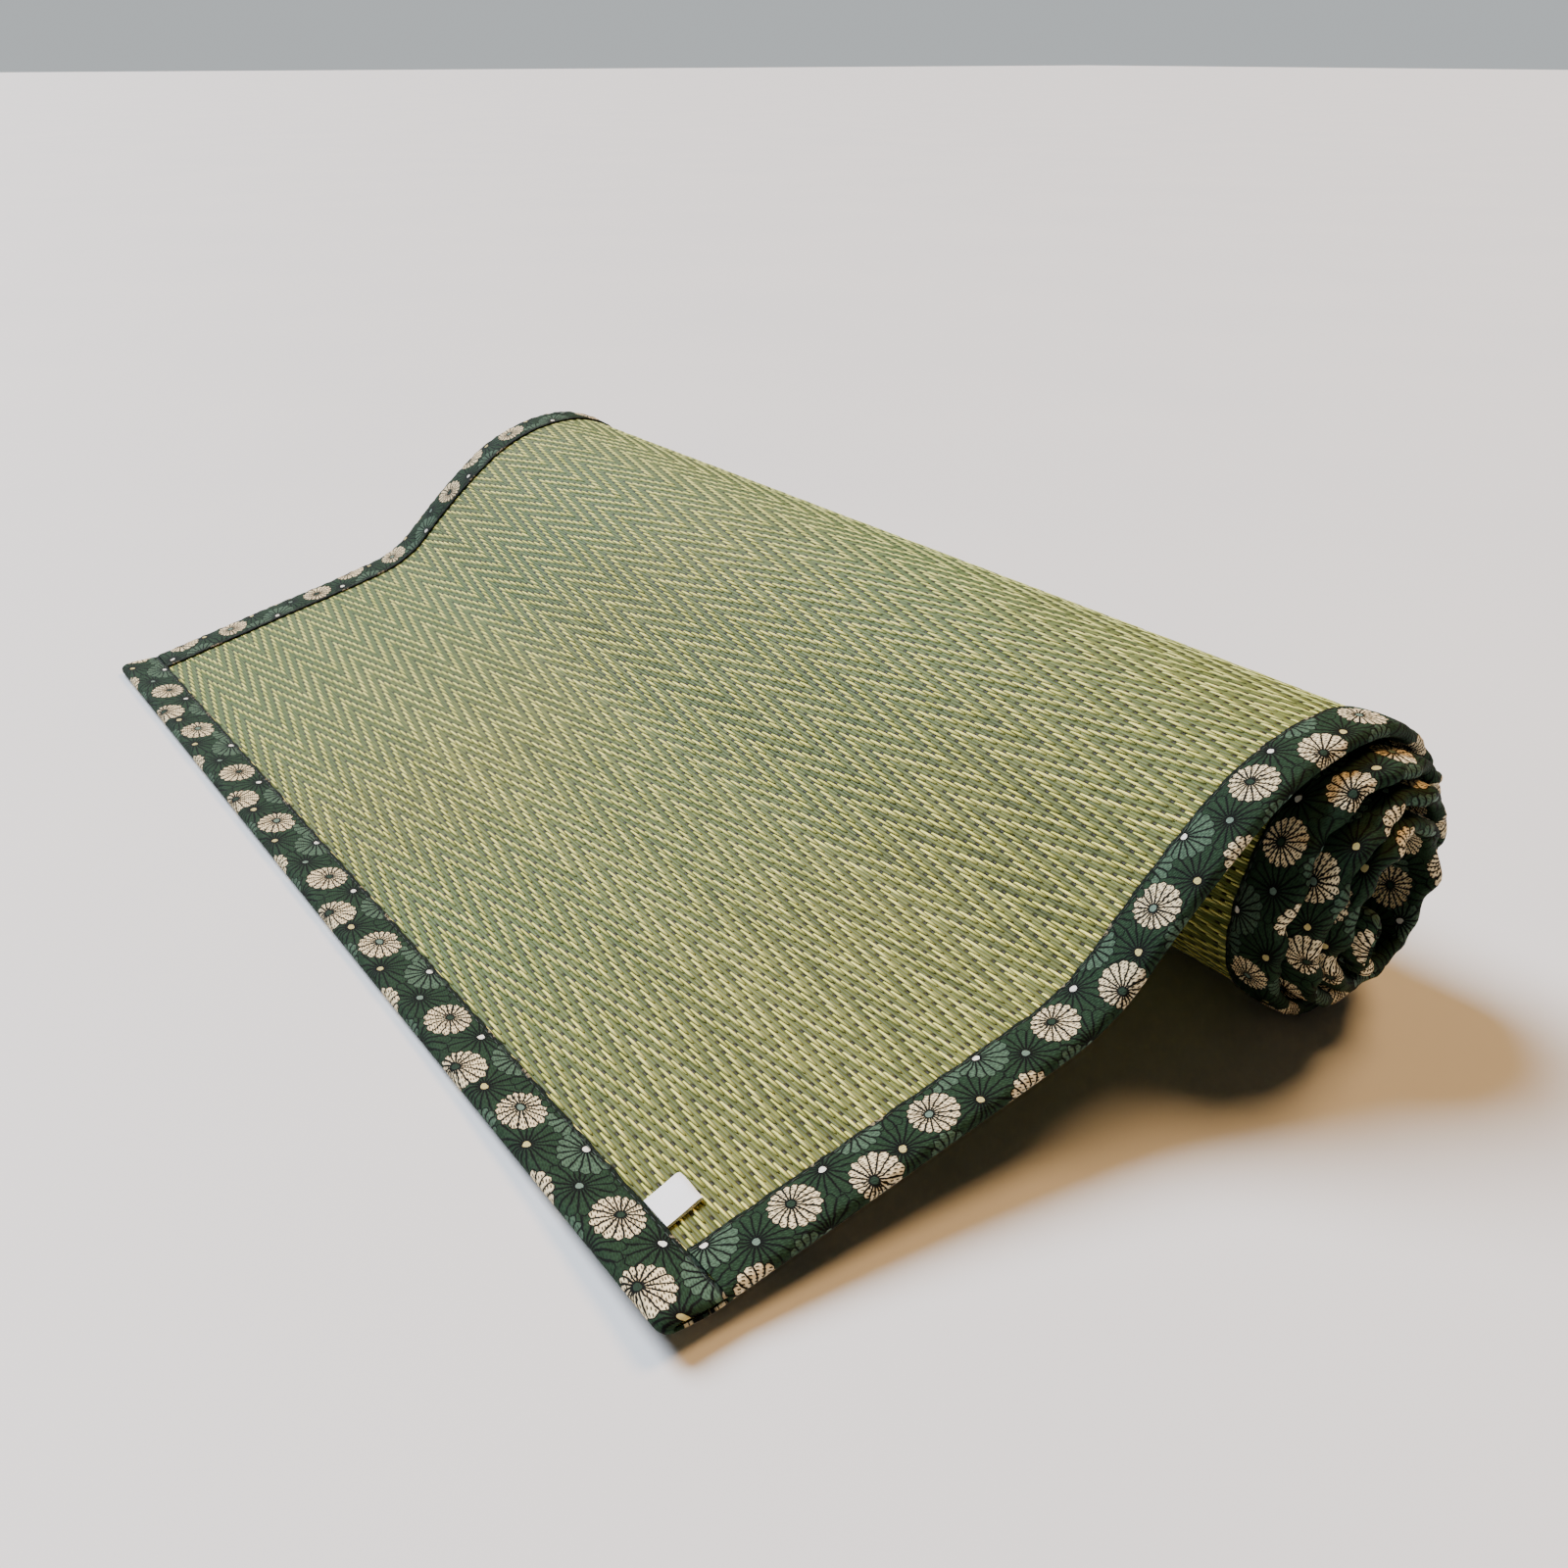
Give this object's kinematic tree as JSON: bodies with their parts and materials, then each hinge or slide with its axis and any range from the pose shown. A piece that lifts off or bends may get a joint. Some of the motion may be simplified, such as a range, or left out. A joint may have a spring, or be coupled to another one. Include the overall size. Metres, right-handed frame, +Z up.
{
  "type": "rush mat with a cloth border, partly rolled up",
  "caption": "Thin rush mat bound in flowered cloth, its front edge flat on the floor, rising to a loose roll turned under at the back.",
  "frame": {"origin": "on the floor, below the middle of the whole mat as it lies", "axes": "+Z up, +X from the front edge towards the roll, +Y along the roll's axis from the right end to the left end"},
  "size_m": [0.3342, 0.6322, 0.1123],
  "materials": {
    "woven_rush": "smooth dried rush, soft sheen",
    "border_cloth": "brocade, matte",
    "tab_tape": "woven tape, satin"
  },
  "bodies": {
    "root": {"rush_sheet": "woven_rush", "border_right": "border_cloth", "border_left": "border_cloth", "border_front": "border_cloth", "border_inner_end": "border_cloth", "tab": "tab_tape"}
  },
  "joints": []
}
